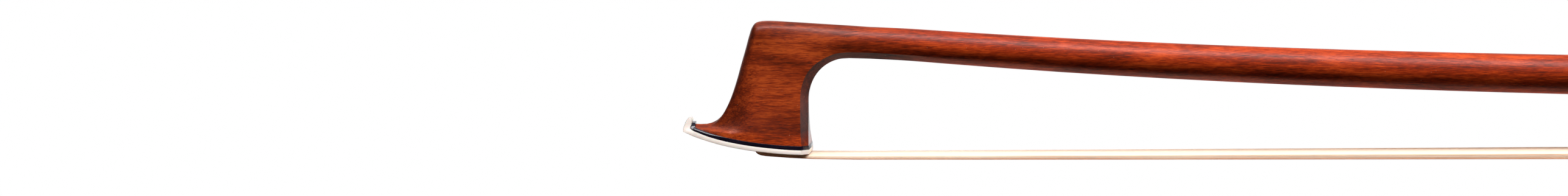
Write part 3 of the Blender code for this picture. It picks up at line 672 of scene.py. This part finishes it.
def slabRing(outer, outerHalf, inner, innerHalf, rounding):  # rounding: radius of the outer and the inner edge
    thick = math.hypot(inner[0] - outer[0], inner[1] - outer[1])
    c, d = min(rounding[0], thick / 3), min(rounding[1], thick * 0.6)
    half = [(0.0, 0.0)]
    for centre, wide, radius, first in ((c, outerHalf, c, 90), (thick - d, innerHalf, d, 0)):
        for k in range(4):
            angle = math.radians(first - 30 * k)
            half.append((centre - radius * math.sin(angle), wide - radius + radius * math.cos(angle)))
    half.append((thick, 0.0))
    points = [(u / thick, -y) for u, y in half] + [(u / thick, y) for u, y in reversed(half[1:-1])]
    return [(outer[0] + (inner[0] - outer[0]) * share - bow["halfLength"], y, outer[1] + (inner[1] - outer[1]) * share)
            for share, y in points]


def plateTop(x):  # the plate is thicker at the beak
    return layers["beakPlate"] + (layers["plate"] - layers["beakPlate"]) * easeBetween(x, 2.0, 5.0)


def slabHalf(x):  # the rear corners are cut like the chamfers of the throat above them
    return min(planHalf(x), 3.1 + 1.2 * (21.83 - x))


def slabAlong(name, beak, low, high, start, innerRounding, lean, spread):
    # lean: how far the end face tips forward; spread: how much wider the outer face is
    rings = [slabRing(*station, (0.08, 0.06 + innerRounding(start) * (n / len(beak)) ** 8))
             for n, station in enumerate(beak)]
    for k in range(49):
        x = start + (21.76 - start) * k / 48
        slope = (curveThrough(plateLine, x + 0.05) - curveThrough(plateLine, x - 0.05)) / 0.1
        ahead = min(x - slope * (high(x) - low(x)) * 0.7, 21.76 - lean)
        outer = (x, curveThrough(plateLine, x) + low(x))
        inner = (ahead, curveThrough(plateLine, ahead) + high(ahead))
        rings.append(slabRing(outer, slabHalf(x) + spread, inner, slabHalf(ahead), (0.09, innerRounding(ahead))))
    end = ((21.83, outer[1] + 0.06), slabHalf(21.8) + spread - 0.07,
           (21.83 - lean, inner[1] - 0.02), slabHalf(21.8) - 0.04)
    rings.append(slabRing(*end, (0.09, innerRounding(ahead))))
    return skinRings(name, rings)


def makePlate():
    plate = slabAlong("headPlate", plateBeak, lambda x: 0.0, plateTop, 1.45, lambda x: 0.03, 0.0, 0.13)
    smooth(plate, 35)
    tones = plate.data.attributes.new("paintedEdgeShade", "FLOAT", "FACE")
    for face in plate.data.polygons:  # painted shade darkens the beak a little, and its small edge faces most, so its outline shows
        edge = abs(face.normal.y) > 0.15 and face.area < 0.05e-6
        tones.data[face.index].value = (1.0 if edge else 0.2) * easeBetween(face.center.z / mm, 4.3, 5.0)
    return dress(plate, "bone", "stick", ["head_plate"])


def makeLiner():
    liner = slabAlong("headLiner", linerNose, lambda x: plateTop(x) + layers["glue"],
                      lambda x: layers["woodLift"] - 0.01, 1.95, lambda x: 0.015 + beakBevel(x), 0.1, 0.0)
    smooth(liner, 35)
    return dress(liner, "darkLiner", "stick", ["head_liner"])


def addMortise(piece):
    bpy.ops.mesh.primitive_cube_add(size=1, location=(-0.35705, 0, 0.0023))
    tool = bpy.context.object
    tool.scale = (0.0063, 0.0059, 0.0066)
    settle(tool)
    cutWith(piece, tool)


headPlate, headLiner = makePlate(), makeLiner()
for piece in (headPlate, headLiner, bowStick):
    addMortise(piece)
print("head plate and liner")


# Hair: single strands from the knot in the head to the knot in the frog
hairSizes = {"across": 44, "deep": 6, "radius": 0.12, "sides": 5, "seed": 11}
frogHair = [onHandle(u, 0, h - bow["frogDepth"]) / mm for u, h in ((-0.3, 0.75), (3.0, 1.1), (9.4, 1.78), (13.2, 1.98))]
hairPath = [  # X, underside, half width, thickness, turn upwards in degrees
    (-360.1, 2.9, 2.7, 0.45, 90), (-360.05, 1.6, 2.75, 0.5, 84), (-359.85, 1.1, 2.78, 0.5, 66),
    (-359.5, 0.80, 2.8, 0.52, 42), (-359.0, 0.62, 2.85, 0.54, 20), (-358.2, 0.50, 2.9, 0.55, 8),
    (-357.1, 0.43, 3.05, 0.55, 3), (-354.0, 0.24, 3.3, 0.55, 0),
    (-350.1, 0.08, 3.45, 0.58, 0), (-342.5, 0.0, 3.55, 0.62, 0), (-320.0, 0.03, 3.7, 0.69, 0), (-290.0, 0.09, 3.9, 0.80, 0),
    (-225.0, 0.25, 4.25, 1.0, 0), (-100.0, 0.40, 4.6, 1.02, 0), (0.0, 0.50, 4.85, 1.0, 0), (150.0, 0.66, 5.05, 0.9, 0),
    (290.0, frogHair[0].z - 0.1, 5.25, 0.75, 0)] + [
    (p.x, p.z, half, 0.7, 0) for p, half in zip(frogHair, (5.2, 5.2, 5.2, 3.6))]


def hairRings(outline):  # rings of (share of the width, share of the depth) points at each station
    rings = []
    for n, (x, under, half, thick, turn) in enumerate(hairPath):
        lean = math.radians(turn)
        ring = []
        for across, deep in outline(n, half, thick):
            ring.append((x + deep * math.sin(lean), across, under + deep * math.cos(lean)))
        rings.append(ring)
    return rings


def strandOutline(spot, depth, drift):
    def outline(n, half, thick):
        r, sides = hairSizes["radius"], hairSizes["sides"]
        share = min(1.0, max(0.0, spot + drift * math.sin(n * 1.3)))
        y, up = (share * 2 - 1) * (half - r), r + depth * (thick - 2 * r)
        return [(y + r * math.cos(a), up + r * math.sin(a)) for a in (2 * math.pi * k / sides + 0.3 for k in range(sides))]
    return outline


def coreOutline(n, half, thick):  # fills the ribbon between the strands
    y, low, high = half - hairSizes["radius"], hairSizes["radius"] * 0.7, thick - hairSizes["radius"] * 0.7
    return [(-y, low), (-y / 3, low), (y / 3, low), (y, low), (y, high), (y / 3, high), (-y / 3, high), (-y, high)]


def setTone(piece, tone):
    values = piece.data.attributes.new("strandTone", "FLOAT", "POINT")
    for value in values.data:
        value.value = tone


def makeHair():
    h = hairSizes
    draw = random.Random(h["seed"])
    hair = skinRings("bowHair", hairRings(coreOutline))
    setTone(hair, 0.5)
    # One strand is modelled, and its copies take their own places
    modelled = hairRings(strandOutline(0.5, 0.5, 0.0))
    strand = skinRings("hairStrand", modelled)
    places = [point for ring in modelled for point in ring]
    order = [min(range(len(places)), key=lambda k: (vertex.co / mm - Vector(places[k])).length_squared)
             for vertex in strand.data.vertices]
    strands = []
    for row in range(h["deep"]):
        for column in range(h["across"]):
            spot = (column + 0.5 + (0.3 if row % 2 else 0.0) + draw.uniform(-0.25, 0.25)) / h["across"]
            depth = min(1.0, max(0.0, (row + draw.uniform(-0.3, 0.3)) / (h["deep"] - 1)))
            tone, drift = draw.uniform(0.3, 1.0), draw.uniform(-0.012, 0.012)
            if column in (0, h["across"] - 1):  # the ribbon's sides are even
                spot, depth, drift = float(column > 0), row / (h["deep"] - 1), 0.0
            copy = strand.copy()
            copy.data = strand.data.copy()
            bpy.context.scene.collection.objects.link(copy)
            points = [point for ring in hairRings(strandOutline(spot, depth, drift)) for point in ring]
            for vertex, k in zip(copy.data.vertices, order):
                vertex.co = Vector(points[k]) * mm
            # painted shade: the strands at the ribbon's sides are darker towards its underside
            sideInPaintedShade = column < 3 or column > h["across"] - 4
            setTone(copy, tone * (min(1.0, 0.25 * row) if sideInPaintedShade else 1.0))
            strands.append(copy)
    bpy.data.objects.remove(strand)
    selectOnly(hair)
    for copy in strands:
        copy.select_set(True)
    bpy.ops.object.join()
    bpy.ops.object.select_all(action="DESELECT")
    smooth(hair, 75)
    dress(hair, "hair", None, ["hair_ribbon"])
    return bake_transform(hair)


bowHair = makeHair()
print("hair strands", hairSizes["across"] * hairSizes["deep"])


# Frog and button pieces: copies of the solids with softened edges
def softCopy(node, name, look, body, width, segments=2, degrees=30):
    piece = bpy.data.objects.new(name, nodes[node].data.copy())
    bpy.context.scene.collection.objects.link(piece)
    openEdit(piece)
    bpy.ops.mesh.select_all(action="SELECT")
    bpy.ops.mesh.customdata_custom_splitnormals_clear()
    bpy.ops.mesh.remove_doubles(threshold=0.000002)
    bpy.ops.mesh.dissolve_limited(angle_limit=math.radians(0.5))
    closeEdit()
    softenEdges(piece, width, segments, degrees)
    smooth(piece, degrees + 5)
    applyModifier(piece, "WEIGHTED_NORMAL", keep_sharp=True)
    return dress(piece, look, body, [node])


softened = {"frog_block": ("frogBlock", "ebony", 0.18), "ferrule": ("frogFerrule", "silver", 0.1),
            "heel_plate_sole": ("heelPlateSole", "silver", 0.08), "heel_plate_back": ("heelPlateBack", "silver", 0.08),
            "slide_backing": ("slideBacking", "ebony", 0.05), "pearl_slide": ("pearlSlide", "pearl", 0.06),
            "eye_ring_left": ("eyeRingLeft", "silver", 0.12), "eye_ring_right": ("eyeRingRight", "silver", 0.12),
            "eye_pearl_left": ("eyePearlLeft", "pearl", 0.15), "eye_pearl_right": ("eyePearlRight", "pearl", 0.15)}
for node, (name, look, width) in softened.items():
    softCopy(node, name, look, "frog", width)
for node, (name, look, width) in {
        "button_collar_front": ("buttonCollarFront", "silver", 0.12), "button_core": ("buttonCore", "ebony", 0.1),
        "button_collar_rear": ("buttonCollarRear", "silver", 0.12), "button_pearl": ("buttonPearl", "pearl", 0.12)}.items():
    softCopy(node, name, look, "button", width)
print("frog and button")


# Grip leather: a sleeve with soft ends and a lapped seam below
def makeLeather():
    sizes = {"start": -32.0, "length": 33.0, "inner": 4.75, "outer": 5.6, "round": 0.45, "seam": 0.15, "around": 72}
    rings = []
    profile = [(sizes["inner"], 0.0), (sizes["outer"] - sizes["round"], 0.0), (sizes["outer"] - 0.12, 0.15),
               (sizes["outer"], sizes["round"])]
    profile += [(sizes["outer"], sizes["round"] + (sizes["length"] - 2 * sizes["round"]) * i / 12) for i in range(1, 12)]
    profile += [(r, sizes["length"] - u) for r, u in reversed(profile[:4])]
    for radius, along in profile:
        ring = []
        for i in range(sizes["around"]):
            angle = 2 * math.pi * i / sizes["around"]
            swell = sizes["seam"] * max(0.0, 1 - abs(i - sizes["around"] / 2 - 2) / 5) if radius > 5 else 0.0
            reach = radius + swell
            point = onHandle(sizes["start"] + along, -reach * math.sin(angle), reach * math.cos(angle)) / mm
            ring.append(tuple(point))
        rings.append(ring)
    leather = skinRings("gripLeather", rings)
    leather.data.transform(Matrix.Identity(4))
    bpy.ops.mesh.primitive_cylinder_add(vertices=64, radius=4.7 * mm, depth=40 * mm, location=(-15.5 * mm, 0, 0),
                                        rotation=(0, math.pi / 2, 0))
    tool = bpy.context.object
    settle(tool)
    tool.data.transform(handleFrame)
    cutWith(leather, tool)
    smooth(leather, 40)
    return dress(leather, "leather", "stick", ["thumb_leather"])


def makeLapping():
    sizes = {"start": -90.2, "turns": 196, "pitch": 0.296, "wire": 0.15, "radius": 4.82, "sides": 6, "steps": 28}
    bpy.ops.mesh.primitive_circle_add(vertices=sizes["sides"], radius=sizes["wire"] * mm,
                                      location=(sizes["radius"] * mm, 0, 0), rotation=(math.pi / 2, 0, 0))
    wire = bpy.context.object
    wire.name = "silverLapping"
    settle(wire)
    applyModifier(wire, "SCREW", steps=sizes["steps"], render_steps=sizes["steps"], iterations=sizes["turns"],
                  screw_offset=sizes["pitch"] * mm, use_merge_vertices=False)
    openEdit(wire)
    bpy.ops.mesh.select_all(action="DESELECT")
    bpy.ops.mesh.select_non_manifold()
    bpy.ops.mesh.fill()
    closeEdit()
    wire.data.transform(handleFrame @ Matrix.Translation((sizes["start"] * mm, 0, 0)) @ Matrix.Rotation(math.pi / 2, 4, "Y"))
    facesOutward(wire)
    smooth(wire, 60)
    return dress(wire, "silver", "stick", ["lapping"])


gripLeatherPiece, silverLapping = makeLeather(), makeLapping()
print("leather and lapping")

# The solids that stay get their materials
for node, look in {"head_plug": "maple", "head_hair_knot": "thread", "spread_wedge": "maple", "frog_hair_knot": "thread",
                   "frog_plug": "maple", "underslide": "silver", "eyelet": "brass", "adjusting_screw": "steel"}.items():
    nodes[node].data.materials.clear()
    nodes[node].data.materials.append(looks[look])

# Studio: floor, backdrop, lamps, dark screens that only reflections see, and the camera
studio = {"azimuth": 6.0, "elevation": 7.0, "roll": 0.734, "aim": (-355.22, 0.0, 10.125), "distance": 1483.0,
          "focal": 200.0, "floor": -45.0}


def cardGlow(name, mirrored, bounced):  # what reflections see, and what light bounces off it
    material = bpy.data.materials.new(name)
    material.use_nodes = True
    tree = material.node_tree
    tree.nodes.clear()
    rays, glow = tree.nodes.new("ShaderNodeLightPath"), tree.nodes.new("ShaderNodeEmission")
    linkTo(tree, glow, {"Color": mixOf(tree, rays.outputs["Is Glossy Ray"], bounced, mirrored)})
    tree.links.new(glow.outputs[0], tree.nodes.new("ShaderNodeOutputMaterial").inputs[0])
    return material


def whiteForView(tree):  # 1 for rays of the camera, of reflections and through glass
    rays = tree.nodes.new("ShaderNodeLightPath")
    seen = mathOf(tree, "MAXIMUM", rays.outputs["Is Glossy Ray"], rays.outputs["Is Transmission Ray"])
    return mathOf(tree, "MAXIMUM", rays.outputs["Is Camera Ray"], seen)


def makeFloor():
    bpy.ops.mesh.primitive_plane_add(size=12, location=(0, 0, studio["floor"] * mm))
    floor = bpy.context.object
    floor.name = "studioFloor"
    material, tree, shader, place = startMaterial("paleFloor", {"Roughness": 0.9, "Specular IOR Level": 0.0})
    seen = whiteForView(tree)
    cloud = noiseOf(tree, place, 3.0, detail=2)
    pale = rampOf(tree, cloud, [(0.2, (0.515, 0.515, 0.515)), (0.8, (0.525, 0.525, 0.525))])
    linkTo(tree, shader, {"Base Color": mixOf(tree, seen, (0.30, 0.27, 0.25), pale)})
    glow = tree.nodes.new("ShaderNodeEmission")
    blend = tree.nodes.new("ShaderNodeMixShader")
    split = tree.nodes.new("ShaderNodeSeparateXYZ")
    tree.links.new(place, split.inputs[0])
    away = [rampOf(tree, mathOf(tree, "ABSOLUTE", split.outputs[axis]), [(low, 0.0), (high, 1.0)], True)
            for axis, low, high in ((0, 0.42, 0.8), (1, 0.1, 0.26))]
    tree.links.new(mathOf(tree, "MULTIPLY", mathOf(tree, "MAXIMUM", *away), seen), blend.inputs[0])
    tree.links.new(shader.outputs[0], blend.inputs[1])
    tree.links.new(glow.outputs[0], blend.inputs[2])
    tree.links.new(blend.outputs[0], tree.nodes["Material Output"].inputs[0])
    floor.data.materials.append(material)


def makeWorld():
    world = bpy.data.worlds.new("studioWorld")
    bpy.context.scene.world = world
    world.use_nodes = True
    tree = world.node_tree
    background = tree.nodes["Background"]
    tree.links.new(mixOf(tree, whiteForView(tree), (0.03, 0.03, 0.032), (1, 1, 1)), background.inputs["Color"])
    background.inputs["Strength"].default_value = 1.0


def addLamp(name, place, target, size, energy, colour=(1, 1, 1)):
    data = bpy.data.lights.new(name, "AREA")
    data.shape, data.size, data.size_y = "RECTANGLE", size[0], size[1]
    data.energy, data.color = energy, colour
    lamp = bpy.data.objects.new(name, data)
    lamp.location = place
    lamp.rotation_mode = "QUATERNION"
    lamp.rotation_quaternion = (Vector(target) - Vector(place)).to_track_quat("-Z", "Y")
    bpy.context.scene.collection.objects.link(lamp)
    return lamp


def addCard(name, low, high, mirrored, bounced):  # a flat card that only reflections and bounced light see
    (x1, y1, z1), (x2, y2, z2) = low, high
    bpy.ops.mesh.primitive_plane_add(size=1)
    card = bpy.context.object
    card.name = name
    # the primitive's corners come row by row, near side first
    places = ((x1, y1, z1), (x2, y1, z1), (x1, y2, z2), (x2, y2, z2)) if x1 != x2 else (
        (x1, y1, z1), (x1, y2, z1), (x1, y1, z2), (x1, y2, z2))
    for vertex, place in zip(card.data.vertices, places):
        vertex.co = place
    card.data.materials.append(cardGlow(name + "Glow", mirrored, bounced))
    card.visible_camera = card.visible_shadow = card.visible_transmission = False


makeFloor()
makeWorld()
addLamp("keySoftbox", (-0.15, -0.365, 1.0), (-0.15, 0, 0.01), (2.0, 0.44), 38)
addLamp("topFill", (-0.1, 0.30, 1.1), (-0.1, 0, 0.01), (2.0, 0.4), 2)
black, dim, warm = (0.004, 0.004, 0.004), (0.3, 0.28, 0.27), (2.8, 2.4, 2.0)
addCard("lowFrontCard", (-2.5, -1.75, -0.03), (2.5, 0.004, -0.03), black, black)
addCard("farFrontCard", (-2.5, -1.75, -0.03), (2.5, -1.75, 0.62), black, black)
addCard("leftCard", (-1.3, -1.7, -0.03), (-1.3, 1.2, 0.8), black, black)
addCard("rightCard", (1.3, -1.7, -0.03), (1.3, 1.2, 0.5), (0.05, 0.035, 0.03), black)
addCard("lowBackCard", (-0.28, 0.004, -0.03), (2.5, 0.26, -0.03), dim, warm)
addCard("lowBackEnd", (-2.5, 0.004, -0.03), (-0.28, 0.15, -0.03), dim, warm)
addCard("highBackCard", (-2.5, 1.2, 0.35), (2.5, 1.2, 2.6), (0.5, 0.46, 0.44), black)


def addCamera():
    azimuth, elevation = math.radians(studio["azimuth"]), math.radians(studio["elevation"])
    back = Vector((math.sin(azimuth) * math.cos(elevation), -math.cos(azimuth) * math.cos(elevation), math.sin(elevation)))
    data = bpy.data.cameras.new("photoCamera")
    data.lens, data.sensor_width = studio["focal"], 36.0
    data.clip_start, data.clip_end = 0.1, 50
    camera = bpy.data.objects.new("photoCamera", data)
    camera.location = (Vector(studio["aim"]) + back * studio["distance"]) * mm
    camera.rotation_mode = "QUATERNION"
    turn = (-back).to_track_quat("-Z", "Y")
    camera.rotation_quaternion = turn @ Matrix.Rotation(math.radians(-studio["roll"]), 3, "Z").to_quaternion()
    bpy.context.scene.collection.objects.link(camera)
    bpy.context.scene.camera = camera


addCamera()
bpy.context.scene.view_settings.view_transform = "Standard"
print("studio ready")
